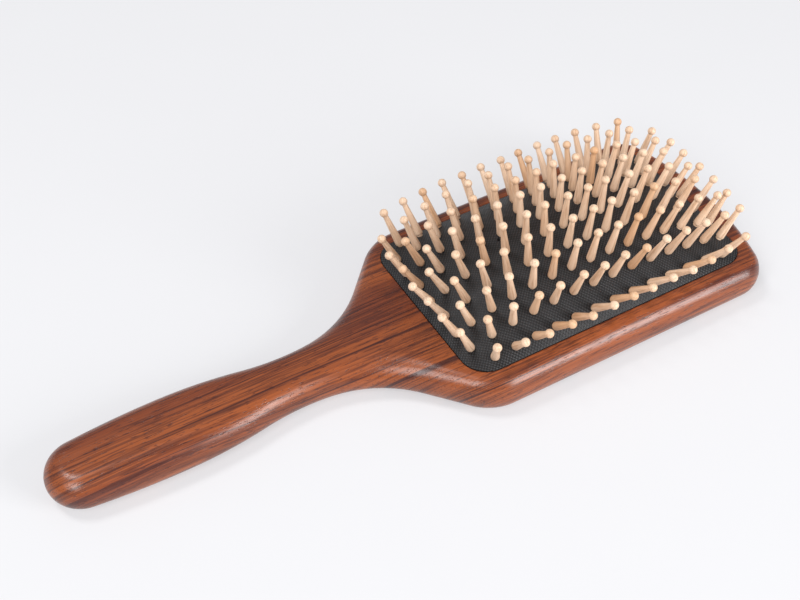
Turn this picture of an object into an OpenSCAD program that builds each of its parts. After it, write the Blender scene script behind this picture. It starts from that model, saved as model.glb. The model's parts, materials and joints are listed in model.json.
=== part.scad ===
// Paddle hairbrush: a one-piece wooden paddle and handle, a domed rubber air
// cushion held in a groove, and nine rows of turned wooden pins that stand in it.
// The brush lies on its back. X runs from the handle to the tip, Z points up.

/* [Wood] */
// Overall length, from the handle's butt to the tip
brush_length = 254; // [240:1:268]
// Thickness of the wood, the same from end to end
wood_thickness = 14; // [12:0.5:16]
// Width across the paddle
paddle_width = 82.6; // [81:0.2:88]
// Width of the handle at its fullest
handle_width = 26.6; // [24:0.2:30]
// Width of the waist between the handle and the paddle
waist_width = 18.6; // [17:0.2:22]
// Distance from the butt to the fullest place of the handle
bulge_from_butt = 41.5; // [36:0.5:46]
// Distance from the butt to the waist
waist_from_butt = 84.5; // [80:0.5:88]
// Radius of the long curve from the butt to the fullest place
handle_back_radius = 285; // [250:5:400]
// Radius of the hollow between the waist and the paddle
flare_radius = 46.5; // [42:0.5:50]
// Steepest angle of the flare to the handle
flare_angle = 47; // [44:1:50]
// Radius of the paddle's shoulders
shoulder_radius = 18.5; // [16:0.5:22]
// Radius of the paddle's tip corners
tip_corner_radius = 11.5; // [10:0.5:16]
// Radius of the bow across the tip
tip_bow_radius = 115; // [100:5:200]
// How far the rounded edge reaches in over the paddle
paddle_edge = 5; // [4:0.25:6]
// Extra reach of the rounded edge over the hollow flare
flare_edge = 4.5; // [3:0.5:5.5]
// How far the rounded edge reaches in over the handle
handle_edge = 7; // [5:0.25:8]

/* [Recess] */
// Length of the cushion opening
opening_length = 112; // [108:1:113]
// Width of the cushion opening
opening_width = 67.8; // [65:0.2:69]
// Corner radius of the opening
opening_corner = 9; // [7:0.5:12]
// Wood left between the opening and the middle of the tip
tip_rim = 10.7; // [10:0.1:12]
// Depth of the air chamber below the paddle's face
recess_depth = 9; // [8:0.25:10]
// How far the retaining groove is cut under the rim
groove_reach = 2.2; // [1.8:0.1:2.6]
// Height of the retaining groove
groove_height = 1.8; // [1.6:0.1:2]
// Depth of the groove's roof below the paddle's face
groove_roof = 2.4; // [2:0.1:2.8]

/* [Cushion] */
// Height of the dome above the paddle's face
dome_height = 12.6; // [10:0.2:14]
// Thickness of the rubber
rubber_thickness = 1.4; // [1.2:0.1:1.6]
// Play between the rubber and the wood
rubber_play = 0.15; // [0.1:0.05:0.25]
// Diameter of the vent hole
vent_diameter = 1.4; // [1:0.1:2]

/* [Pins] */
// Length of a pin from the rubber to the middle of its ball
pin_reach = 13.6; // [12:0.2:15]
// Diameter of the ball tip
ball_diameter = 3; // [2.8:0.1:3.3]
// Diameter of the pin's neck, under the ball
neck_diameter = 1.8; // [1.6:0.1:2]
// Diameter of the pin where it stands on the rubber
base_diameter = 3; // [2.9:0.1:3.4]
// Diameter of the stem through the rubber
stem_diameter = 2.2; // [2:0.1:2.4]
// Diameter of the foot under the rubber
foot_diameter = 4.2; // [3.8:0.1:4.4]
// Thickness of the foot
foot_thickness = 0.9; // [0.8:0.1:1.1]
// Spacing of the pins along a row
pin_pitch = 7.75; // [7.6:0.05:7.85]
// Spacing of the rows at the middle of the cushion
row_pitch = 8.1; // [8:0.05:8.2]

/* [Hidden] */

$fn = 48;
half_thickness = wood_thickness / 2;
butt_x = -brush_length / 2;
tip_x = brush_length / 2;
face_z = wood_thickness;

// The outline's driving places, on the +Y side
bulge = [butt_x + bulge_from_butt, handle_width / 2];
waist = [butt_x + waist_from_butt, waist_width / 2];
side_y = paddle_width / 2;

// Handle: the butt's round is tangent to the long curve, and two arcs join the
// fullest place to the waist, turning by the same angle one way and then back
butt_radius = (pow(bulge_from_butt, 2) + pow(bulge.y, 2) - 2 * bulge.y * handle_back_radius)
    / (2 * (bulge_from_butt - handle_back_radius));
butt_centre = [butt_x + butt_radius, 0];
butt_angle = 90 + atan((bulge.x - butt_centre.x) / (handle_back_radius - bulge.y));
waist_turn = 2 * atan((bulge.y - waist.y) / (waist.x - bulge.x));
turn_radii = (waist.x - bulge.x) / sin(waist_turn);
bulge_radius = 0.63 * turn_radii;
waist_radius = turn_radii - bulge_radius;

// Paddle: the hollow flare, a short straight, the shoulder, the side and the tip
flare_end = [waist.x + flare_radius * sin(flare_angle),
             waist.y + flare_radius * (1 - cos(flare_angle))];
shoulder_start_y = side_y - shoulder_radius * (1 - cos(flare_angle));
shoulder_start = [flare_end.x + (shoulder_start_y - flare_end.y) / tan(flare_angle),
                  shoulder_start_y];
shoulder_centre = [shoulder_start.x + shoulder_radius * sin(flare_angle),
                   side_y - shoulder_radius];
tip_centre_y = side_y - tip_corner_radius;
bow_centre_x = tip_x - tip_bow_radius;
tip_centre = [bow_centre_x + sqrt(pow(tip_bow_radius - tip_corner_radius, 2)
              - pow(tip_centre_y, 2)), tip_centre_y];
tip_angle = atan(tip_centre.y / (tip_centre.x - bow_centre_x));

// Arcs of the +Y side, from the butt to the tip: centre, radius, first and last
// direction of the outward normal, steps, and -1 where the wood is outside the arc
ARCS = [
    [butt_centre, butt_radius, 180, butt_angle, 12, 1],
    [[bulge.x, bulge.y - handle_back_radius], handle_back_radius, butt_angle, 90, 4, 1],
    [[bulge.x, bulge.y - bulge_radius], bulge_radius, 90, 90 - waist_turn, 4, 1],
    [[waist.x, waist.y + waist_radius], waist_radius, 90 - waist_turn, 90, 4, -1],
    [[waist.x, waist.y + flare_radius], flare_radius, 90, 90 + flare_angle, 10, -1],
    [shoulder_centre, shoulder_radius, 90 + flare_angle, 90, 8, 1],
    [tip_centre, tip_corner_radius, 90, tip_angle, 10, 1],
    [[bow_centre_x, 0], tip_bow_radius, tip_angle, 0, 5, 1],
];

// Stations along the side: place on the outline and outward normal. An arc leaves
// out its first station where it carries on from the arc before it.
STATIONS = [for (i = [0:len(ARCS) - 1])
    let (arc = ARCS[i], carries_on = (i > 0 && i != 5 && i != 6) ? 1 : 0)
    for (k = [carries_on:arc[4]])
        let (a = arc[2] + (arc[3] - arc[2]) * k / arc[4], n = [cos(a), sin(a)])
        [arc[0] + arc[5] * arc[1] * n, n]];

// The edge's rounding reaches further in on the handle than on the paddle,
// and furthest over the hollow flare between them
function flare_swell(u) = u > 0 && u < 1 ? flare_edge * sin(180 * u) ^ 2 : 0;
function smooth_step(t) = let (c = max(0, min(1, t))) c * c * (3 - 2 * c);
function edge_reach(x) =
    paddle_edge + (handle_edge - paddle_edge) * smooth_step((flare_end.x - x) / flare_radius)
    + flare_swell((x - waist.x) / (shoulder_start.x - waist.x));
ring_steps = 12;
function ring_point(station, k, side) =
    let (t = -90 + 180 * k / ring_steps,
         p = station[0] - station[1] * edge_reach(station[0].x) * (1 - cos(t)))
    [p.x, side * p.y, half_thickness * (1 + sin(t))];

// Opening and dome
opening_x = tip_x - tip_rim - opening_length / 2;
half_length = opening_length / 2;
half_width = opening_width / 2;
function dome_along(u) = 1 - pow(min(1, abs(u)), 2.85);
function dome_across(v) = 1 - 0.82 * pow(min(1, abs(v)), 2) - 0.18 * pow(min(1, abs(v)), 6);
function dome_z(x, y) =
    face_z + dome_height * dome_along(x / half_length) * dome_across(y / half_width);

// Pins: where each stands and how far it leans outwards, from the opening's middle
end_pin_x = 6.7 * pin_pitch;
odd_pitch = 1.018 * pin_pitch;
part_reach = 2.5 * pin_pitch;
vent_place = [-2.8 * pin_pitch, 0.8 * row_pitch];
stem_play = 0.1;
foot_gap = 0.45;
base_gap = 0.4;
base_height = 0.5;
base_round = 0.35;
function row_y(row) = row_pitch * row - 0.04 * pow(row, 3);
function row_xs(row) = row % 2 == 0
    ? concat(abs(row) < 4 ? [-end_pin_x] : [], [for (k = [-6:6]) pin_pitch * k],
             abs(row) < 4 ? [end_pin_x] : [])
    : [for (k = [-7:6]) odd_pitch * (k + 0.5)];
function lean_along(x, y) = let (u = x / half_length, v = y / half_width)
    u * (0.2 + 0.55 * abs(u)) * (1 - 0.6 * v * v);
function lean_across(x, y) = let (u = x / half_length, v = y / half_width)
    (0.26 * v + 1.3 * pow(v, 5)) * (1 - pow(abs(u), 4));
function in_part(x, part) = part == "neck" ? x < -part_reach
    : part == "tip" ? x > part_reach : abs(x) <= part_reach;

// Solid plank with the outline and the rounded edges
module plank() {
    last = len(STATIONS) - 1;
    rings = ring_steps + 1;
    side_count = len(STATIONS) * rings;
    function at(i, k, side) = i * rings + k + (side < 0 && i > 0 && i < last ? side_count : 0);
    polyhedron(
        [for (side = [1, -1], station = STATIONS, k = [0:ring_steps])
            ring_point(station, k, side)],
        concat(
            [for (i = [0:last - 1], k = [0:ring_steps - 1])
                [at(i, k, 1), at(i + 1, k, 1), at(i + 1, k + 1, 1), at(i, k + 1, 1)]],
            [for (i = [0:last - 1], k = [0:ring_steps - 1])
                [at(i, k, -1), at(i, k + 1, -1), at(i + 1, k + 1, -1), at(i + 1, k, -1)]],
            [for (i = [0:last - 1], end = [0, 1]) let (k = end * ring_steps,
                rung = [at(i, k, 1), if (i > 0) at(i, k, -1),
                        if (i < last - 1) at(i + 1, k, -1), at(i + 1, k, 1)])
                end == 0 ? rung : [for (j = [len(rung) - 1:-1:0]) rung[j]]]),
        convexity = 6);
}

module rounded_rectangle(length, width, corner) {
    square([length - 2 * corner, width], center = true);
    square([length, width - 2 * corner], center = true);
    for (x = [-1, 1], y = [-1, 1])
        translate([x * (length / 2 - corner), y * (width / 2 - corner)]) circle(r = corner);
}

module opening_block(grow, low, high) {
    translate([opening_x, 0, low]) linear_extrude(high - low)
        rounded_rectangle(opening_length + 2 * grow, opening_width + 2 * grow,
                          opening_corner + grow);
}

module wood_body() {
    color("sienna") difference() {
        plank();
        opening_block(0, face_z - recess_depth, face_z + 1);
        opening_block(groove_reach, face_z - groove_roof - groove_height, face_z - groove_roof);
    }
}

// Points around a rounded rectangle, with more of them along its straights
function rounded_loop(length, width, corner) = [for (quarter = [0:3])
    let (sx = quarter == 0 || quarter == 3 ? 1 : -1, sy = quarter < 2 ? 1 : -1,
         c = [sx * (length / 2 - corner), sy * (width / 2 - corner)],
         along_x = quarter % 2 == 0,
         run = along_x ? [-2 * sx * (length / 2 - corner), 0] : [0, -2 * sy * (width / 2 - corner)],
         extra = along_x ? 9 : 5,
         out = [cos(90 * quarter + 90), sin(90 * quarter + 90)])
    each concat([for (k = [0:4]) let (a = 90 * quarter + 22.5 * k) c + corner * [cos(a), sin(a)]],
                [for (k = [1:extra]) c + corner * out + run * k / (extra + 1)])];
function opening_loop(grow) = rounded_loop(opening_length + 2 * grow, opening_width + 2 * grow,
                                           opening_corner + grow);
function flat_ring(grow, z) = [for (p = opening_loop(grow)) [p.x + opening_x, p.y, z]];
function dome_ring(grow, scale, drop) = [for (p = opening_loop(grow))
    [scale * p.x + opening_x, scale * p.y, dome_z(scale * p.x, scale * p.y) - drop]];
DOME_SCALES = [1, 0.97, 0.92, 0.84, 0.74, 0.62, 0.48, 0.33, 0.17];

// Rubber shell in one skin: flange, wall and dome outside, then dome and wall inside
module cushion_shell(flange_low, flange_top) {
    inner_grow = -rubber_play - rubber_thickness;
    outside = concat([flat_ring(groove_reach - rubber_play, flange_low),
                      flat_ring(groove_reach - rubber_play, flange_top),
                      flat_ring(-rubber_play, flange_top)],
                     [for (scale = DOME_SCALES) dome_ring(-rubber_play, scale, 0)]);
    inside = concat([for (i = [len(DOME_SCALES) - 1:-1:0])
                        dome_ring(inner_grow, DOME_SCALES[i], rubber_thickness)],
                    [flat_ring(inner_grow, flange_low)]);
    rings = concat(outside, inside);
    count = len(rings[0]);
    crown = len(outside) - 1;
    bottom = len(rings) - 1;
    top_point = len(rings) * count;
    polyhedron(
        concat([for (ring = rings) each ring],
               [[opening_x, 0, dome_z(0, 0)], [opening_x, 0, dome_z(0, 0) - rubber_thickness]]),
        [for (r = [0:bottom], i = [0:count - 1])
            let (next = (i + 1) % count, up = (r + 1) % (bottom + 1) * count)
            each r == crown
                ? [[r * count + i, top_point, r * count + next],
                   [top_point + 1, up + i, up + next]]
                : [[r * count + i, up + i, up + next, r * count + next]]],
        convexity = 6);
}

module rubber_cushion() {
    flange_top = face_z - groove_roof - rubber_play;
    flange_low = flange_top - groove_height + 2 * rubber_play;
    color("dimgray") difference() {
        cushion_shell(flange_low, flange_top);
        translate([opening_x, 0, 0]) {
            for (row = [-4:4], x = row_xs(row))
                at_pin(x, row_y(row)) translate([0, 0, -2 * rubber_thickness])
                    cylinder(d = stem_diameter + 2 * stem_play, h = 4 * rubber_thickness, $fn = 24);
            translate([vent_place.x, vent_place.y, face_z])
                cylinder(d = vent_diameter, h = 2 * dome_height, $fn = 24);
        }
    }
}

// Moves a pin to its place on the dome and leans it outwards
module at_pin(x, y) {
    lean = [lean_along(x, y), lean_across(x, y)];
    translate([x, y, dome_z(x, y)])
        rotate([0, 0, atan2(lean.y, lean.x)]) rotate([0, atan(norm(lean)), 0]) children();
}

// One turned pin, standing on the rubber at z = 0
module pin() {
    foot_top = -rubber_thickness - foot_gap;
    lap = 0.1;
    rotate_extrude($fn = 24) intersection() {
        union() {
            translate([0, foot_top - foot_thickness]) square([foot_diameter / 2, foot_thickness]);
            translate([0, foot_top - lap]) square([stem_diameter / 2, base_gap - foot_top + 2 * lap]);
            translate([0, base_gap]) square([base_diameter / 2 - base_round, base_height]);
            translate([base_diameter / 2 - base_round, base_gap + base_round]) circle(r = base_round);
            polygon([[0, base_gap + base_round], [base_diameter / 2, base_gap + base_round],
                     [neck_diameter / 2, pin_reach - ball_diameter / 3],
                     [neck_diameter / 2, pin_reach], [0, pin_reach]]);
            translate([0, pin_reach]) circle(d = ball_diameter);
        }
        translate([0, -pin_reach]) square([foot_diameter, 3 * pin_reach]);
    }
}

module pins(row, part) {
    color("burlywood") translate([opening_x, 0, 0])
        for (x = row_xs(row)) if (in_part(x, part)) at_pin(x, row_y(row)) pin();
}

wood_body();
rubber_cushion();
pins(-4, "neck");  // pins_row_1_neck
pins(-4, "middle");  // pins_row_1_middle
pins(-4, "tip");  // pins_row_1_tip
pins(-3, "neck");  // pins_row_2_neck
pins(-3, "middle");  // pins_row_2_middle
pins(-3, "tip");  // pins_row_2_tip
pins(-2, "neck");  // pins_row_3_neck
pins(-2, "middle");  // pins_row_3_middle
pins(-2, "tip");  // pins_row_3_tip
pins(-1, "neck");  // pins_row_4_neck
pins(-1, "middle");  // pins_row_4_middle
pins(-1, "tip");  // pins_row_4_tip
pins(0, "neck");  // pins_row_5_neck
pins(0, "middle");  // pins_row_5_middle
pins(0, "tip");  // pins_row_5_tip
pins(1, "neck");  // pins_row_6_neck
pins(1, "middle");  // pins_row_6_middle
pins(1, "tip");  // pins_row_6_tip
pins(2, "neck");  // pins_row_7_neck
pins(2, "middle");  // pins_row_7_middle
pins(2, "tip");  // pins_row_7_tip
pins(3, "neck");  // pins_row_8_neck
pins(3, "middle");  // pins_row_8_middle
pins(3, "tip");  // pins_row_8_tip
pins(4, "neck");  // pins_row_9_neck
pins(4, "middle");  // pins_row_9_middle
pins(4, "tip");  // pins_row_9_tip
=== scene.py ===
"""Paddle hairbrush: one plank of lacquered wood, a domed rubber air cushion and
nine rows of turned wooden pins, built round the fixed frame of the solid model.

Everything is in metres. The brush lies on its back, X runs from the handle to the
tip and Z points up from the back of the wood.
"""

import json
import math
import random

import bmesh
import bpy
from bpy.props import (
    FloatProperty,
    FloatVectorProperty,
    IntProperty,
    PointerProperty,
)
from bpy.types import Operator, Panel, PropertyGroup
from mathutils import Matrix, Vector
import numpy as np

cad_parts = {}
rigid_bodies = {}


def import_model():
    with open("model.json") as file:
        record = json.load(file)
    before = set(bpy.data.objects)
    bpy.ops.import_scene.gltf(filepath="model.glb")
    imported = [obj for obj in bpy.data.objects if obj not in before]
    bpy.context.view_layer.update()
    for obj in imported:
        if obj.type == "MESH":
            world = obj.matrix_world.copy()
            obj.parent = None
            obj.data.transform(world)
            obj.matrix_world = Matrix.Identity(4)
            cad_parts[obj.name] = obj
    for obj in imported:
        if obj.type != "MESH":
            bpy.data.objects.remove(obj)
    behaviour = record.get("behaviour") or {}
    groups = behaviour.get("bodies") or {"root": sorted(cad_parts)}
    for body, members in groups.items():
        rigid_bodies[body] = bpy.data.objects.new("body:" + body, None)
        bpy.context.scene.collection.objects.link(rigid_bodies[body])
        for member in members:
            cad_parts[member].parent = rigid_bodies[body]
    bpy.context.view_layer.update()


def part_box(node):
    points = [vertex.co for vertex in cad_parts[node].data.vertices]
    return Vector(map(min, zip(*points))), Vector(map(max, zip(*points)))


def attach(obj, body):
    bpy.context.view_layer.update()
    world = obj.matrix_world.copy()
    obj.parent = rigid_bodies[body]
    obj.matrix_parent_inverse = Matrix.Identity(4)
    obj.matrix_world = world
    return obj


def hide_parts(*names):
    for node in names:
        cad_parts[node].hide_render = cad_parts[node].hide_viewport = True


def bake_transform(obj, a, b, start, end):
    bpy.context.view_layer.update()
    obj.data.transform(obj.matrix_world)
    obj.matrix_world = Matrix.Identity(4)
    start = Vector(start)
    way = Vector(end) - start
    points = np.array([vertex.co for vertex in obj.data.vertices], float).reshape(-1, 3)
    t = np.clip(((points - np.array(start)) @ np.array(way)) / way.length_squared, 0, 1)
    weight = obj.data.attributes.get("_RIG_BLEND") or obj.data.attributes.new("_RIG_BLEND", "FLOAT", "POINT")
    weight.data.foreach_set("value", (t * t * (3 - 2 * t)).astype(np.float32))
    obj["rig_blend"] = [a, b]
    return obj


bl_info = {
    "name": "Paddle Hairbrush",
    "version": (1, 0, 0),
    "blender": (4, 5, 0),
    "location": "3D View > Sidebar > Hairbrush",
    "description": "Builds a wooden paddle hairbrush with a rubber cushion and turned pins",
    "category": "Add Mesh",
}

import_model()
WOOD_LOW, WOOD_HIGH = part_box("wood_body")
PAD_LOW, PAD_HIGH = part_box("rubber_cushion")
FACE_Z = WOOD_HIGH.z
PAD_X = (PAD_LOW.x + PAD_HIGH.x) / 2
MM = 0.001
EDGE_STEPS = 24
FLAT_STRIP = 0.5 * MM
FOOT_GAP = 0.45 * MM
FOOT_HEIGHT = 0.9 * MM
BASE_GAP = 0.4 * MM
BALL_TURNS = 7
BLEND_HEIGHT = 4 * MM
FIRST_SEED = 40
DOME_POWER = 2.85
DOME_SHARE = 0.82
ROWS = range(-4, 5)
PARTS = ("neck", "middle", "tip")


# ---------------------------------------------------------------- settings


def length(name, description, default):
    return FloatProperty(
        name=name, description=description, default=default, min=0.0, unit="LENGTH"
    )


def colour(name, description, default):
    return FloatVectorProperty(
        name=name,
        description=description,
        default=default,
        size=3,
        min=0.0,
        max=1.0,
        subtype="COLOR",
    )


class WoodSettings(PropertyGroup):
    """Sizes and colours of the plank"""

    handle_width: length("Handle width", "Across the handle at its fullest", 26.6 * MM)
    waist_width: length("Waist width", "Between the handle and the paddle", 18.6 * MM)
    bulge_from_butt: length("Bulge", "From the butt to the fullest place", 41.5 * MM)
    waist_from_butt: length("Waist", "From the butt to the waist", 84.5 * MM)
    back_radius: length("Handle radius", "Long curve behind the bulge", 285 * MM)
    flare_radius: length("Flare radius", "Hollow between waist and paddle", 46.5 * MM)
    flare_angle: FloatProperty(
        name="Flare angle",
        description="Steepest angle of the flare to the handle",
        default=math.radians(47),
        subtype="ANGLE",
    )
    shoulder_radius: length("Shoulder radius", "Paddle's shoulders", 18.5 * MM)
    corner_radius: length("Tip corner radius", "Paddle's tip corners", 11.5 * MM)
    bow_radius: length("Tip bow radius", "Bow across the tip", 115 * MM)
    paddle_edge: length("Paddle edge", "Reach of the rounded edge", 5 * MM)
    handle_edge: length("Handle edge", "Reach of the rounded edge", 7 * MM)
    flare_edge: length("Flare edge", "Extra reach over the flare", 4.5 * MM)
    recess_depth: length("Recess depth", "Air chamber under the cushion", 9 * MM)
    lip: length("Lip rounding", "Rounding round the opening", 0.3 * MM)
    light: colour("Light wood", "Between the streaks", (0.315, 0.078, 0.020))
    mid: colour("Middle wood", "Broad darker zones", (0.198, 0.044, 0.015))
    dark: colour("Dark wood", "Streaks and pores", (0.032, 0.0065, 0.008))
    roughness: FloatProperty(
        name="Roughness",
        description="Roughness of the lacquer",
        default=0.29,
        min=0.0,
        max=1.0,
    )


class CushionSettings(PropertyGroup):
    """Sizes and colour of the rubber cushion"""

    opening_length: length("Opening length", "Along the brush", 112 * MM)
    opening_width: length("Opening width", "Across the brush", 67.8 * MM)
    opening_corner: length("Opening corner", "Corner radius", 9 * MM)
    groove_reach: length("Groove reach", "Groove cut under the rim", 2.2 * MM)
    groove_height: length("Groove height", "Height of the groove", 1.8 * MM)
    groove_roof: length("Groove roof", "Wood left over the groove", 2.4 * MM)
    dome_height: length("Dome height", "Above the paddle's face", 12.6 * MM)
    thickness: length("Rubber thickness", "Wall of the cushion", 1.4 * MM)
    play: length("Play", "Between the rubber and the wood", 0.15 * MM)
    vent: length("Vent", "Diameter of the vent hole", 1.4 * MM)
    vent_back: length("Vent back", "From the middle towards the handle", 21.7 * MM)
    vent_side: length("Vent side", "From the middle towards +Y", 6.48 * MM)
    weave_pitch: length("Weave pitch", "Spacing of the embossed weave", 1.22 * MM)
    weave_depth: length("Weave depth", "Height of the embossed weave", 0.08 * MM)
    rubber: colour("Rubber", "Colour of the cushion", (0.007, 0.007, 0.008))


class PinSettings(PropertyGroup):
    """Sizes and colours of the turned pins"""

    reach: length("Reach", "From the rubber to the middle of the ball", 13.6 * MM)
    ball: length("Ball", "Diameter of the ball tip", 3.0 * MM)
    neck: length("Neck", "Diameter under the ball", 1.8 * MM)
    base: length("Base", "Diameter on the rubber", 3.0 * MM)
    stem: length("Stem", "Diameter through the rubber", 2.2 * MM)
    foot: length("Foot", "Diameter of the foot under the rubber", 4.2 * MM)
    pitch: length("Pitch", "Spacing along a row", 7.75 * MM)
    row_pitch: length("Row pitch", "Spacing of the rows", 8.1 * MM)
    sides: IntProperty(
        name="Sides", description="Steps round a pin", default=20, min=8, max=48
    )
    wander: FloatProperty(
        name="Wander",
        description="Small uneven lean of the pins",
        default=math.radians(1.1),
        subtype="ANGLE",
    )
    pale: colour("Pale wood", "Most of the pins", (0.87, 0.64, 0.465))
    warm: colour("Warm wood", "The few darker pins", (0.70, 0.40, 0.21))
    grain: colour("Grain", "Fine lines along the pins", (0.46, 0.24, 0.11))


class StageSettings(PropertyGroup):
    """Camera, lights and floor"""

    camera: FloatVectorProperty(
        name="Camera",
        description="Where the camera stands",
        default=(-0.150, -0.247, 0.325),
        size=3,
        subtype="TRANSLATION",
        unit="LENGTH",
    )
    target: FloatVectorProperty(
        name="Target",
        description="Point in the middle of the view",
        default=(0.001, 0.0084, 0.014),
        size=3,
        subtype="TRANSLATION",
        unit="LENGTH",
    )
    roll: FloatProperty(
        name="Roll",
        description="Turn of the camera about its own axis",
        default=math.radians(0.28),
        subtype="ANGLE",
    )
    lens: FloatProperty(
        name="Lens", description="Focal length in millimetres", default=57.75, min=10
    )
    floor: colour("Floor", "Plain pale floor", (0.40, 0.40, 0.41))
    glow: FloatProperty(
        name="Glow", description="Floor's own light, for pale shadows", default=1.08, min=0
    )
    fill: FloatProperty(
        name="Fill", description="Strength of the even light", default=0.36, min=0.0
    )


# ------------------------------------------------------------- mesh helpers


def spin_chain(bm, layers, verts, centre, radius, first, last, steps, side=1):
    """Carries the last vertex round an arc, and notes the outward direction there.

    first and last are directions of the outward normal in degrees; side is -1
    where the wood lies outside the arc.
    """
    outline, outward = layers
    normal = Vector((math.cos(math.radians(first)), math.sin(math.radians(first)), 0))
    start = Vector((centre[0], centre[1], 0)) + side * radius * normal
    if not verts or (verts[-1].co - start).length > 1e-6:
        verts.append(bm.verts.new(start))
        if len(verts) > 1:
            bm.edges.new(verts[-2:])
    known = set(bm.verts)
    bmesh.ops.spin(
        bm,
        geom=[verts[-1]],
        cent=(centre[0], centre[1], 0),
        axis=(0, 0, 1),
        angle=math.radians(last - first),
        steps=steps,
        use_merge=False,
        use_duplicate=False,
    )
    fresh = [v for v in bm.verts if v not in known]
    chain = [verts[-1]]
    while fresh:
        step = next(
            e.other_vert(chain[-1])
            for e in chain[-1].link_edges
            if e.other_vert(chain[-1]) in fresh
        )
        fresh.remove(step)
        chain.append(step)
    verts.extend(chain[1:])
    middle = Vector((centre[0], centre[1], 0))
    for v in chain:
        v[outline] = v.co
        v[outward] = side * (v.co - middle).normalized()


def outline_layers(bm):
    make = bm.verts.layers.float_vector.new
    return make("outline"), make("outward")


def extrude_rings(bm, edges, places):
    """Extrudes a closed run of edges once for each place, a function of a vertex."""
    for place in places:
        made = bmesh.ops.extrude_edge_only(bm, edges=edges)["geom"]
        edges = [g for g in made if isinstance(g, bmesh.types.BMEdge)]
        for v in (g for g in made if isinstance(g, bmesh.types.BMVert)):
            v.co = place(v)
    return edges


def finish_mesh(bm, name, material, sharp=math.radians(40), recalculate=True):
    """Closes off a bmesh as a smooth-shaded object at the origin."""
    if recalculate:
        bmesh.ops.recalc_face_normals(bm, faces=bm.faces)
    for f in bm.faces:
        f.smooth = True
    for e in bm.edges:
        e.smooth = len(e.link_faces) != 2 or e.calc_face_angle(0) < sharp
    mesh = bpy.data.meshes.new(name)
    bm.to_mesh(mesh)
    bm.free()
    mesh.materials.append(material)
    obj = bpy.data.objects.new(name, mesh)
    bpy.context.scene.collection.objects.link(obj)
    return obj


# --------------------------------------------------------- material helpers


class Nodes:
    """Small builder for a material's node tree, on object or attribute coordinates"""

    def __init__(self, name):
        self.material = bpy.data.materials.new(name)
        self.material.use_nodes = True
        self.tree = self.material.node_tree
        self.shader = next(
            n for n in self.tree.nodes if n.type == "BSDF_PRINCIPLED"
        )

    def put(self, socket, value):
        if isinstance(value, bpy.types.NodeSocket):
            self.tree.links.new(value, socket)
        elif hasattr(socket.default_value, "__len__") and len(value) == 3:
            size = len(socket.default_value)
            socket.default_value = (*value, 1.0)[:size]
        else:
            socket.default_value = value

    def add(self, kind, inputs, **settings):
        node = self.tree.nodes.new("ShaderNode" + kind)
        for key, value in settings.items():
            setattr(node, key, value)
        for key, value in inputs.items():
            self.put(node.inputs[key], value)
        return node

    def objects(self):
        return self.add("TexCoord", {}).outputs["Object"]

    def attribute(self, name, output):
        return self.add("Attribute", {}, attribute_name=name).outputs[output]

    def stretch(self, vector, scale, location=(0, 0, 0)):
        return self.add(
            "Mapping", {"Vector": vector, "Scale": scale, "Location": location}
        ).outputs["Vector"]

    def noise(self, vector, scale, detail=2.0, roughness=0.5, location=(0, 0, 0)):
        return self.add(
            "TexNoise",
            {
                "Vector": self.stretch(vector, scale, location),
                "Scale": 1.0,
                "Detail": detail,
                "Roughness": roughness,
            },
        ).outputs["Fac"]

    def math(self, operation, a, b=0.0):
        return self.add("Math", {0: a, 1: b}, operation=operation).outputs[0]

    def ramp(self, value, low, high, to_low=0.0, to_high=1.0):
        return self.add(
            "MapRange",
            {
                "Value": value,
                "From Min": low,
                "From Max": high,
                "To Min": to_low,
                "To Max": to_high,
            },
            interpolation_type="SMOOTHSTEP",
        ).outputs["Result"]

    def mix(self, share, a, b):
        node = self.tree.nodes.new("ShaderNodeMix")
        node.data_type = "RGBA"
        for key, value in ((0, share), (6, a), (7, b)):
            self.put(node.inputs[key], value)
        return node.outputs[2]

    def bump(self, height, strength, distance):
        return self.add(
            "Bump", {"Height": height, "Strength": strength, "Distance": distance}
        ).outputs["Normal"]

    def shade(self, **values):
        for key, value in values.items():
            self.put(self.shader.inputs[key.replace("_", " ")], value)
        return self.material


# ------------------------------------------------------------------- wood


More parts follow.
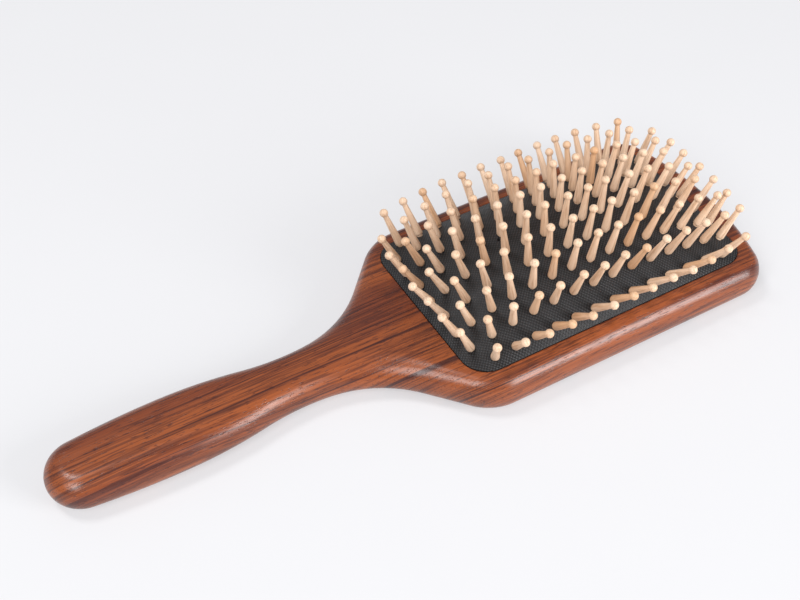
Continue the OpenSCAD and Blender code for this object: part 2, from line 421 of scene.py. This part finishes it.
def outline_arcs(wood):
    """Arcs of the +Y side, from the butt to the tip, as spin_chain takes them."""
    butt_x, tip_x = WOOD_LOW.x, WOOD_HIGH.x
    side_y = WOOD_HIGH.y
    bulge = Vector((butt_x + wood.bulge_from_butt, wood.handle_width / 2))
    waist = Vector((butt_x + wood.waist_from_butt, wood.waist_width / 2))
    back = wood.back_radius
    butt_radius = (wood.bulge_from_butt**2 + bulge.y**2 - 2 * bulge.y * back) / (
        2 * (wood.bulge_from_butt - back)
    )
    butt = (butt_x + butt_radius, 0)
    butt_angle = 90 + math.degrees(math.atan((bulge.x - butt[0]) / (back - bulge.y)))
    turn = 2 * math.degrees(math.atan((bulge.y - waist.y) / (waist.x - bulge.x)))
    radii = (waist.x - bulge.x) / math.sin(math.radians(turn))
    bulge_radius = 0.63 * radii
    waist_radius = radii - bulge_radius

    flare = wood.flare_angle
    flare_end = waist + wood.flare_radius * Vector((math.sin(flare), 1 - math.cos(flare)))
    shoulder_y = side_y - wood.shoulder_radius * (1 - math.cos(flare))
    shoulder_x = flare_end.x + (shoulder_y - flare_end.y) / math.tan(flare)
    shoulder = (
        shoulder_x + wood.shoulder_radius * math.sin(flare),
        side_y - wood.shoulder_radius,
    )
    corner_y = side_y - wood.corner_radius
    bow_x = tip_x - wood.bow_radius
    corner_x = bow_x + math.sqrt((wood.bow_radius - wood.corner_radius) ** 2 - corner_y**2)
    tip_angle = math.degrees(math.atan(corner_y / (corner_x - bow_x)))
    flare_turn = math.degrees(flare)
    arcs = [
        (butt, butt_radius, 180, butt_angle, 24),
        ((bulge.x, bulge.y - back), back, butt_angle, 90, 8),
        ((bulge.x, bulge.y - bulge_radius), bulge_radius, 90, 90 - turn, 8),
        ((waist.x, waist.y + waist_radius), waist_radius, 90 - turn, 90, 8, -1),
        (
            (waist.x, waist.y + wood.flare_radius),
            wood.flare_radius,
            90,
            90 + flare_turn,
            20,
            -1,
        ),
        (shoulder, wood.shoulder_radius, 90 + flare_turn, 90, 18),
        ((corner_x, corner_y), wood.corner_radius, 90, tip_angle, 20),
        ((bow_x, 0), wood.bow_radius, tip_angle, 0, 12),
    ]
    return arcs, waist.x, flare_end.x, shoulder_x


def opening_chain(bm, layers, cushion):
    """Rounded rectangle of the cushion's opening, as a closed run of edges."""
    verts = []
    half_x = cushion.opening_length / 2 - cushion.opening_corner
    half_y = cushion.opening_width / 2 - cushion.opening_corner
    corners = ((1, 1, 0), (-1, 1, 90), (-1, -1, 180), (1, -1, 270))
    for sx, sy, first in corners:
        spin_chain(
            bm,
            layers,
            verts,
            (PAD_X + sx * half_x, sy * half_y),
            cushion.opening_corner,
            first,
            first + 90,
            14,
        )
    bm.edges.new((verts[-1], verts[0]))
    chosen = set(verts)
    return [e for e in bm.edges if chosen.issuperset(e.verts)]


def wood_mesh(wood, cushion):
    """The plank with its rounded edges, the recess and the groove under its rim."""
    bm = bmesh.new()
    outline, outward = layers = outline_layers(bm)
    arcs, waist_x, flare_x, shoulder_x = outline_arcs(wood)
    verts = []
    for arc in arcs:
        spin_chain(bm, layers, verts, *arc)
    bmesh.ops.mirror(bm, geom=bm.verts[:] + bm.edges[:], axis="Y", merge_dist=1e-6)
    for v in bm.verts:
        n = v[outward]
        if abs(v.co.y) < 1e-7:
            n = (math.copysign(1, n.x), 0, 0)
        v[outward] = (n[0], math.copysign(n[1], v.co.y), 0)
        v[outline] = v.co

    def reach(x):
        t = min(1, max(0, (flare_x - x) / wood.flare_radius))
        blend = t * t * (3 - 2 * t)
        u = min(1, max(0, (x - waist_x) / (shoulder_x - waist_x)))
        swell = wood.flare_edge * math.sin(math.pi * u) ** 2
        return wood.paddle_edge + (wood.handle_edge - wood.paddle_edge) * blend + swell

    def edge_place(t, extra=0.0):
        """Place at angle t of the rounded edge, -90 at the back and 90 at the face."""
        a = math.radians(t)

        def place(v):
            base, out = Vector(v[outline]), Vector(v[outward])
            p = base - out * (reach(base.x) * (1 - math.cos(a)) + extra)
            p.z = FACE_Z / 2 * (1 + math.sin(a))
            return p

        return place

    first = bm.edges[:]
    for v in bm.verts:
        v.co = edge_place(-90)(v)
    back = extrude_rings(bm, first, [edge_place(-90, FLAT_STRIP)])
    side = [
        edge_place(-90 + 180 * k / EDGE_STEPS) for k in range(1, EDGE_STEPS + 1)
    ]
    face = extrude_rings(bm, first, side + [edge_place(90, FLAT_STRIP)])
    bmesh.ops.triangle_fill(bm, edges=back, use_beauty=True)

    def wall(grow, z):
        return lambda v: Vector(v[outline]) + Vector(v[outward]) * grow + Vector((0, 0, z))

    rim = opening_chain(bm, layers, cushion)
    lip = wood.lip
    for v in {v for e in rim for v in e.verts}:
        v.co = wall(2 * lip, FACE_Z)(v)
    roof = FACE_Z - cushion.groove_roof
    low = roof - cushion.groove_height
    floor = extrude_rings(
        bm,
        rim,
        [
            wall(lip, FACE_Z),
            wall(0.29 * lip, FACE_Z - 0.29 * lip),
            wall(0, FACE_Z - lip),
            wall(0, roof),
            wall(cushion.groove_reach, roof),
            wall(cushion.groove_reach, low),
            wall(0, low),
            wall(0, FACE_Z - wood.recess_depth),
        ],
    )
    bmesh.ops.triangle_fill(bm, edges=floor, use_beauty=True)
    bmesh.ops.triangle_fill(bm, edges=face + rim, use_beauty=True)
    return bm


def wood_material(wood):
    """Reddish brown lacquered wood, with dark streaks, veins and pores along X.

    The grain lies in tilted layers, so it runs on over the rounded sides.
    """
    n = Nodes("lacquered_rosewood")
    place = n.objects()
    axes = n.add("SeparateXYZ", {"Vector": place}).outputs
    sway = n.math("SUBTRACT", n.noise(place, (8, 22, 6), detail=1.5), 0.5)
    across = n.math("ADD", axes["Y"], n.math("MULTIPLY", axes["Z"], 0.7))
    across = n.math("ADD", across, n.math("MULTIPLY", sway, 8 * MM))
    flat = n.add("CombineXYZ", {"X": axes["X"], "Y": across}).outputs[0]

    def layer(along, over, seed, detail=1.0):
        """Noise drawn out along the plank."""
        return n.noise(flat, (along, over, 1), detail, location=(seed, 2 * seed, seed))

    def lines(value, thin, wide):
        """Thin lines where the noise crosses its middle value."""
        off = n.math("ABSOLUTE", n.math("SUBTRACT", value, 0.5))
        return n.ramp(off, thin, wide, 1.0, 0.0)

    zones = n.ramp(layer(5, 75, 1.3, 2), 0.38, 0.60)
    busy = n.ramp(layer(10, 70, 2.1), 0.36, 0.60, 0.35, 1.0)
    here = n.ramp(layer(8, 80, 5.2), 0.40, 0.52)
    veins = n.math("MULTIPLY", lines(layer(2.2, 170, 4.9, 0.6), 0.003, 0.020), here)
    threads = lines(layer(8, 640, 6.4), 0.015, 0.075)
    streaks = n.ramp(layer(16, 900, 7.9, 1.5), 0.48, 0.64)
    dashes = n.ramp(layer(75, 1250, 8.3), 0.54, 0.66)
    fibre = n.noise(place, (160, 1500, 1500), detail=1.5, roughness=0.6)
    pores = n.ramp(n.noise(place, (330, 2100, 2100), detail=1), 0.60, 0.70)

    tone = n.mix(zones, wood.light, wood.mid)
    for mask, share in ((threads, 0.50), (streaks, 0.50)):
        share = n.math("MULTIPLY", busy, share)
        tone = n.mix(n.math("MULTIPLY", mask, share), tone, wood.dark)
    for mask, share in ((dashes, 0.50), (pores, 0.55), (veins, 0.85)):
        tone = n.mix(n.math("MULTIPLY", mask, share), tone, wood.dark)
    rough = n.ramp(fibre, 0.3, 0.7, wood.roughness - 0.03, wood.roughness + 0.05)
    height = n.math("SUBTRACT", n.math("MULTIPLY", fibre, 0.7), pores)
    return n.shade(
        Base_Color=tone,
        Roughness=rough,
        Specular_IOR_Level=0.55,
        Normal=n.bump(height, 0.55, 0.05 * MM),
    )


# ---------------------------------------------------------------- cushion


def dome_z(cushion, x, y):
    """Height of the rubber at a place measured from the opening's middle."""
    u = min(1, abs(x) / (cushion.opening_length / 2))
    v = min(1, abs(y) / (cushion.opening_width / 2))
    along = 1 - u**DOME_POWER
    across = 1 - DOME_SHARE * v**2 - (1 - DOME_SHARE) * v**6
    return FACE_Z + cushion.dome_height * along * across


def rounded_place(x, y, half_x, half_y, corner):
    """Distance outside a rounded rectangle, its nearest place and outward normal."""
    core = Vector(
        (
            max(-(half_x - corner), min(half_x - corner, x)),
            max(-(half_y - corner), min(half_y - corner, y)),
        )
    )
    off = Vector((x, y)) - core
    if off.length > 1e-9:
        out = off.normalized()
    elif half_x - abs(x) < half_y - abs(y):
        out = Vector((math.copysign(1, x), 0))
    else:
        out = Vector((0, math.copysign(1, y)))
    return off.length - corner, core + corner * out, out


def weave(cushion, x, y):
    """Height of the embossed weave, 0 to 1."""
    k = 2 * math.pi / cushion.weave_pitch
    return 0.5 + 0.5 * math.sin(k * x) * math.sin(k * y)


def vent_place(cushion, x, y, step):
    """Place and lift of a grid point at the vent hole, or None away from it."""
    vent = Vector((-cushion.vent_back, cushion.vent_side, 0))
    off = Vector((x, y, 0)) - vent
    if off.length >= cushion.vent / 2 + step / 2:
        return None
    wall = cushion.vent / 2 - step / 2
    inside = off.length < wall
    share = 0.9 * off.length / wall if inside else 1
    lift = -0.9 * cushion.thickness if inside else 0
    return vent + off.normalized() * cushion.vent / 2 * share, lift


def cushion_mesh(cushion):
    """Domed face with its embossed weave and vent, a flange and an inner wall."""
    half_x = cushion.opening_length / 2 - cushion.play
    half_y = cushion.opening_width / 2 - cushion.play
    corner = cushion.opening_corner - cushion.play
    step = cushion.weave_pitch / 4
    count_x = 2 * math.ceil(half_x / step)
    count_y = 2 * math.ceil(half_y / step)
    bm = bmesh.new()
    outline, outward = outline_layers(bm)
    bmesh.ops.create_grid(bm, x_segments=count_x, y_segments=count_y, size=0.5)
    scale = Vector((count_x * step, count_y * step, 1))
    bmesh.ops.scale(bm, vec=scale, verts=bm.verts)

    outside = {}
    for v in bm.verts:
        gap, nearest, out = rounded_place(v.co.x, v.co.y, half_x, half_y, corner)
        outside[v] = gap >= -0.2 * step
        v[outline] = (nearest.x, nearest.y, 0)
        v[outward] = (out.x, out.y, 0)
    lost = [f for f in bm.faces if all(outside[v] for v in f.verts)]
    bmesh.ops.delete(bm, geom=lost, context="FACES")
    for v in bm.verts:
        if outside[v]:
            v.co = v[outline]
    bmesh.ops.remove_doubles(bm, verts=bm.verts, dist=0.05 * step)
    rim = [e for e in bm.edges if len(e.link_faces) == 1]
    rim_verts = {v for e in rim for v in e.verts}
    for v in bm.verts:
        lift = cushion.weave_depth * weave(cushion, v.co.x, v.co.y)
        vented = vent_place(cushion, v.co.x, v.co.y, step)
        if vented:
            v.co, lift = vented
        v.co.z = dome_z(cushion, v.co.x, v.co.y)
        if v not in rim_verts:
            v.co.z += lift

    def wall(grow, z):
        return lambda v: Vector(v[outline]) + Vector(v[outward]) * grow + Vector((0, 0, z))

    def inner(share):
        def place(v):
            p = share * (Vector(v[outline]) - Vector(v[outward]) * cushion.thickness)
            p.z = dome_z(cushion, p.x, p.y) - cushion.thickness
            return p

        return place

    top = FACE_Z - cushion.groove_roof - cushion.play
    low = top - cushion.groove_height + 2 * cushion.play
    reach = cushion.groove_reach
    shares = (1, 0.93, 0.84, 0.72, 0.58, 0.42, 0.26, 0.12, 0.02)
    last = extrude_rings(
        bm,
        rim,
        [wall(0, top), wall(reach, top), wall(reach, low), wall(-cushion.thickness, low)]
        + [inner(share) for share in shares],
    )
    bmesh.ops.contextual_create(bm, geom=last)
    bmesh.ops.translate(bm, vec=(PAD_X, 0, 0), verts=bm.verts)
    return bm


def rubber_material(cushion):
    """Matt black rubber whose embossed weave carries a painted highlight: it is a little paler on its knots.
    """
    n = Nodes("woven_black_rubber")
    place = n.add(
        "VectorMath", {0: n.objects(), 1: (-PAD_X, 0, 0)}, operation="ADD"
    ).outputs[0]
    axes = n.add("SeparateXYZ", {"Vector": place}).outputs
    turns = 2 * math.pi / cushion.weave_pitch
    waves = [
        n.math("SINE", n.math("MULTIPLY", axes[axis], turns)) for axis in ("X", "Y")
    ]
    knot_bumps_and_glints = n.ramp(n.math("MULTIPLY", *waves), -0.6, 1.0)
    dust = n.noise(place, (420, 420, 420), detail=3, roughness=0.7)
    worn = n.noise(place, (38, 38, 38), detail=2)
    tone = n.mix(n.ramp(worn, 0.35, 0.7, 0.0, 0.5), cushion.rubber, (0.015, 0.015, 0.017))
    # Painted highlight: the weave's knots are mixed towards a paler grey, standing in for glints of light on
    # them.
    tone = n.mix(n.math("MULTIPLY", knot_bumps_and_glints, 0.5), tone, (0.066, 0.066, 0.070))
    height = n.math("ADD", n.math("POWER", knot_bumps_and_glints, 1.5), n.math("MULTIPLY", dust, 0.25))
    return n.shade(
        Base_Color=tone,
        Roughness=n.ramp(dust, 0.3, 0.7, 0.42, 0.54),
        Specular_IOR_Level=0.38,
        Normal=n.bump(height, 0.9, 0.14 * MM),
    )


# ------------------------------------------------------------------- pins


def row_y(pins, row):
    return pins.row_pitch * row - 0.04 * MM * row**3


def row_xs(pins, row):
    if row % 2:
        return [1.018 * pins.pitch * (k + 0.5) for k in range(-7, 7)]
    ends = [6.7 * pins.pitch] if abs(row) < 4 else []
    return [-x for x in ends] + [pins.pitch * k for k in range(-6, 7)] + ends


def part_of(pins, x):
    reach = 2.5 * pins.pitch
    return "neck" if x < -reach else "tip" if x > reach else "middle"


def pin_place(cushion, x, y):
    """Where a pin stands on the dome and the direction in which it leans."""
    u = x / (cushion.opening_length / 2)
    v = y / (cushion.opening_width / 2)
    along = u * (0.2 + 0.55 * abs(u)) * (1 - 0.6 * v * v)
    across = (0.26 * v + 1.3 * v**5) * (1 - u**4)
    return Vector((x + PAD_X, y, dome_z(cushion, x, y))), Vector((along, across, 1))


def pin_profile(pins, cushion):
    """Radius and height of a pin, from under its foot to the top of its ball."""
    foot_top = -cushion.thickness - FOOT_GAP
    foot_low = foot_top - FOOT_HEIGHT
    stem, foot, base = pins.stem / 2, pins.foot / 2, pins.base / 2
    neck, ball = pins.neck / 2, pins.ball / 2
    stand = BASE_GAP
    profile = [
        (0, foot_low),
        (foot - 0.2 * MM, foot_low),
        (foot, foot_low + 0.2 * MM),
        (foot, foot_top),
        (stem, foot_top),
        (stem, stand),
        (0.55 * base, stand),
        (0.80 * base, stand + 0.08 * MM),
        (0.95 * base, stand + 0.27 * MM),
        (base, stand + 0.6 * MM),
        (0.975 * base, stand + 1.6 * MM),
    ]
    start = math.asin(neck / ball)
    meets = pins.reach - ball * math.cos(start)
    low_z, low_r = profile[-1][1], profile[-1][0]
    for share in (0.35, 0.7):
        profile.append((low_r + (neck - low_r) * share, low_z + (meets - low_z) * share))
    profile.append((neck, meets))
    for k in range(1, BALL_TURNS):
        a = math.pi - start - (math.pi - start) * k / BALL_TURNS
        profile.append((ball * math.sin(a), pins.reach + ball * math.cos(a)))
    profile.append((0, pins.reach + ball))
    return profile


def pin_mesh(pins, cushion):
    """One pin, standing on the rubber at the origin."""
    bm = bmesh.new()
    grain = bm.verts.layers.float_vector.new("grain_place")
    bm.verts.layers.float.new("tone")
    chain = [bm.verts.new((r, 0, z)) for r, z in pin_profile(pins, cushion)]
    edges = [bm.edges.new(pair) for pair in zip(chain, chain[1:])]
    bmesh.ops.spin(
        bm,
        geom=chain + edges,
        cent=(0, 0, 0),
        axis=(0, 0, 1),
        angle=2 * math.pi,
        steps=pins.sides,
        use_merge=True,
    )
    bmesh.ops.remove_doubles(bm, verts=bm.verts, dist=1e-6)
    bmesh.ops.recalc_face_normals(bm, faces=bm.faces)
    for v in bm.verts:
        v[grain] = v.co
    mesh = bpy.data.meshes.new("turned_pin")
    bm.to_mesh(mesh)
    bm.free()
    return mesh


def pin_group(pins, cushion, pin, row, part, dice):
    """The pins of one part of one row, each a little uneven as turned pins are."""
    bm = bmesh.new()
    for x in row_xs(pins, row):
        lean_by = [dice.gauss(0, pins.wander) for _ in range(2)]
        turn, grown = dice.uniform(0, 2 * math.pi), dice.uniform(0.985, 1.012)
        shift = Vector([dice.uniform(-1, 1) for _ in range(3)])
        tone = dice.random() ** 4
        if part_of(pins, x) != part:
            continue
        before = len(bm.verts)
        bm.from_mesh(pin)
        bm.verts.ensure_lookup_table()
        fresh = bm.verts[before:]
        grain = bm.verts.layers.float_vector["grain_place"]
        layer = bm.verts.layers.float["tone"]
        stand, lean = pin_place(cushion, x, row_y(pins, row))
        lean += Vector((*lean_by, 0))
        up = Vector((0, 0, 1)).rotation_difference(lean).to_matrix().to_4x4()
        matrix = (
            Matrix.Translation(stand)
            @ up
            @ Matrix.Rotation(turn, 4, "Z")
            @ Matrix.Diagonal((1, 1, grown, 1))
        )
        for v in fresh:
            v[grain] = v.co + shift
            v[layer] = tone
        bmesh.ops.transform(bm, matrix=matrix, verts=fresh)
    return bm


def pin_material(pins):
    """Pale turned wood, with fine grain along each pin and some warmer pins."""
    n = Nodes("pale_turned_wood")
    place = n.attribute("grain_place", "Vector")
    tone = n.attribute("tone", "Fac")
    grain = n.noise(place, (1300, 1300, 80), detail=2, roughness=0.6)
    flecks = n.ramp(n.noise(place, (2600, 2600, 420), detail=1), 0.62, 0.75)
    cloud = n.noise(place, (160, 160, 60), detail=1)
    patchy = n.ramp(cloud, 0.4, 0.7, 0.0, 0.25)
    share = n.math("ADD", n.math("MULTIPLY", tone, 0.75), patchy)
    colour_now = n.mix(share, pins.pale, pins.warm)
    colour_now = n.mix(n.ramp(grain, 0.46, 0.70, 0.0, 0.50), colour_now, pins.grain)
    colour_now = n.mix(n.math("MULTIPLY", flecks, 0.22), colour_now, pins.grain)
    return n.shade(
        Base_Color=colour_now,
        Roughness=n.ramp(grain, 0.3, 0.7, 0.36, 0.50),
        Specular_IOR_Level=0.45,
        Normal=n.bump(grain, 0.2, 0.05 * MM),
    )


# ------------------------------------------------------------------ stage


def area_light(name, place, aim, size, power, tint=(1, 1, 1)):
    """Rectangular soft light; size is its width and height."""
    data = bpy.data.lights.new(name, "AREA")
    data.shape = "RECTANGLE"
    data.size, data.size_y = size
    data.energy = power
    data.color = tint
    light = bpy.data.objects.new(name, data)
    light.location = place
    light.rotation_euler = (Vector(aim) - Vector(place)).to_track_quat("-Z", "Y").to_euler()
    bpy.context.scene.collection.objects.link(light)
    return light


# -------------------------------------------------------------- operators


class HAIRBRUSH_OT_stage(Operator):
    """Makes the camera, the soft lights and the plain pale floor"""

    bl_idname = "hairbrush.stage"
    bl_label = "Stage"

    def execute(self, context):
        scene = context.scene
        stage = scene.hairbrush_stage
        data = bpy.data.cameras.new("camera")
        data.lens, data.sensor_width = stage.lens, 36
        data.clip_start, data.clip_end = 0.01, 50
        camera = bpy.data.objects.new("camera", data)
        place, target = Vector(stage.camera), Vector(stage.target)
        aim = (target - place).to_track_quat("-Z", "Y").to_matrix().to_4x4()
        camera.matrix_world = (
            Matrix.Translation(place) @ aim @ Matrix.Rotation(stage.roll, 4, "Z")
        )
        scene.collection.objects.link(camera)
        scene.camera = camera

        world = bpy.data.worlds.new("even_light")
        world.use_nodes = True
        background = world.node_tree.nodes["Background"]
        background.inputs["Color"].default_value = (0.97, 0.98, 1.0, 1.0)
        background.inputs["Strength"].default_value = stage.fill
        scene.world = world
        scene.view_settings.view_transform = "Standard"

        area_light("back_softbox", (-0.42, 0.38, 1.33), (0, 0, 0), (0.36, 0.36), 6.5)
        area_light("front_softbox", (0.53, -0.85, 0.39), (0.03, -0.02, 0), (0.5, 0.58), 9.2)
        area_light("left_softbox", (-0.72, -0.45, 0.82), (0, 0, 0), (0.5, 0.6), 7)

        bm = bmesh.new()
        bmesh.ops.create_grid(bm, x_segments=1, y_segments=1, size=6)
        bmesh.ops.translate(bm, vec=(0, 0, -0.1 * MM), verts=bm.verts)
        n = Nodes("pale_floor")
        speck = n.noise(n.objects(), (30, 30, 30), detail=1)
        soft = [0.985 * c for c in stage.floor]
        n.shade(
            Base_Color=n.mix(speck, stage.floor, soft),
            Roughness=0.95,
            Specular_IOR_Level=0.0,
            Emission_Color=stage.floor,
            Emission_Strength=stage.glow,
        )
        finish_mesh(bm, "floor", n.material, recalculate=False)
        return {"FINISHED"}


class HAIRBRUSH_OT_wood(Operator):
    """Makes the lacquered plank with its recess and groove"""

    bl_idname = "hairbrush.wood"
    bl_label = "Wood"

    def execute(self, context):
        wood, cushion = context.scene.hairbrush_wood, context.scene.hairbrush_cushion
        plank = finish_mesh(wood_mesh(wood, cushion), "plank", wood_material(wood))
        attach(plank, "paddle")
        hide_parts("wood_body")
        return {"FINISHED"}


class HAIRBRUSH_OT_cushion(Operator):
    """Makes the domed rubber cushion with its embossed weave"""

    bl_idname = "hairbrush.cushion"
    bl_label = "Cushion"

    def execute(self, context):
        cushion = context.scene.hairbrush_cushion
        pad = finish_mesh(cushion_mesh(cushion), "air_cushion", rubber_material(cushion))
        fixed = FACE_Z - cushion.groove_roof
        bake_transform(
            pad,
            "paddle",
            "cushion",
            start=(PAD_X, 0, fixed),
            end=(PAD_X, 0, fixed + BLEND_HEIGHT),
        )
        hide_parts("rubber_cushion")
        return {"FINISHED"}


class HAIRBRUSH_OT_pins(Operator):
    """Makes the turned pins, one piece for each part of each row"""

    bl_idname = "hairbrush.pins"
    bl_label = "Pins"

    def execute(self, context):
        pins, cushion = context.scene.hairbrush_pins, context.scene.hairbrush_cushion
        material = pin_material(pins)
        pin = pin_mesh(pins, cushion)
        for row in ROWS:
            number = row + 5
            for part in PARTS:
                dice = random.Random(FIRST_SEED + number)
                group = pin_group(pins, cushion, pin, row, part, dice)
                name = f"turned_pins_{number}_{part}"
                piece = finish_mesh(group, name, material, recalculate=False)
                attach(piece, f"pin_row_{number}")
                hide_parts(f"pins_row_{number}_{part}")
        bpy.data.meshes.remove(pin)
        return {"FINISHED"}


class HAIRBRUSH_PT_panel(Panel):
    """Lists what the brush is made of, in the order in which it is made"""

    bl_label = "Hairbrush"
    bl_idname = "HAIRBRUSH_PT_panel"
    bl_space_type = "VIEW_3D"
    bl_region_type = "UI"
    bl_category = "Hairbrush"

    def draw(self, context):
        for key, kind, operator in (
            ("hairbrush_stage", StageSettings, "hairbrush.stage"),
            ("hairbrush_wood", WoodSettings, "hairbrush.wood"),
            ("hairbrush_cushion", CushionSettings, "hairbrush.cushion"),
            ("hairbrush_pins", PinSettings, "hairbrush.pins"),
        ):
            box = self.layout.box()
            box.operator(operator)
            for name in kind.__annotations__:
                box.prop(getattr(context.scene, key), name)


SETTINGS = {
    "hairbrush_stage": StageSettings,
    "hairbrush_wood": WoodSettings,
    "hairbrush_cushion": CushionSettings,
    "hairbrush_pins": PinSettings,
}
CLASSES = (
    *SETTINGS.values(),
    HAIRBRUSH_OT_stage,
    HAIRBRUSH_OT_wood,
    HAIRBRUSH_OT_cushion,
    HAIRBRUSH_OT_pins,
    HAIRBRUSH_PT_panel,
)


def register():
    for cls in CLASSES:
        bpy.utils.register_class(cls)
    for key, kind in SETTINGS.items():
        setattr(bpy.types.Scene, key, PointerProperty(type=kind))


def unregister():
    for key in SETTINGS:
        delattr(bpy.types.Scene, key)
    for cls in reversed(CLASSES):
        bpy.utils.unregister_class(cls)


def main():
    register()
    bpy.ops.hairbrush.stage()
    bpy.ops.hairbrush.wood()
    bpy.ops.hairbrush.cushion()
    bpy.ops.hairbrush.pins()


if __name__ == "__main__":
    main()
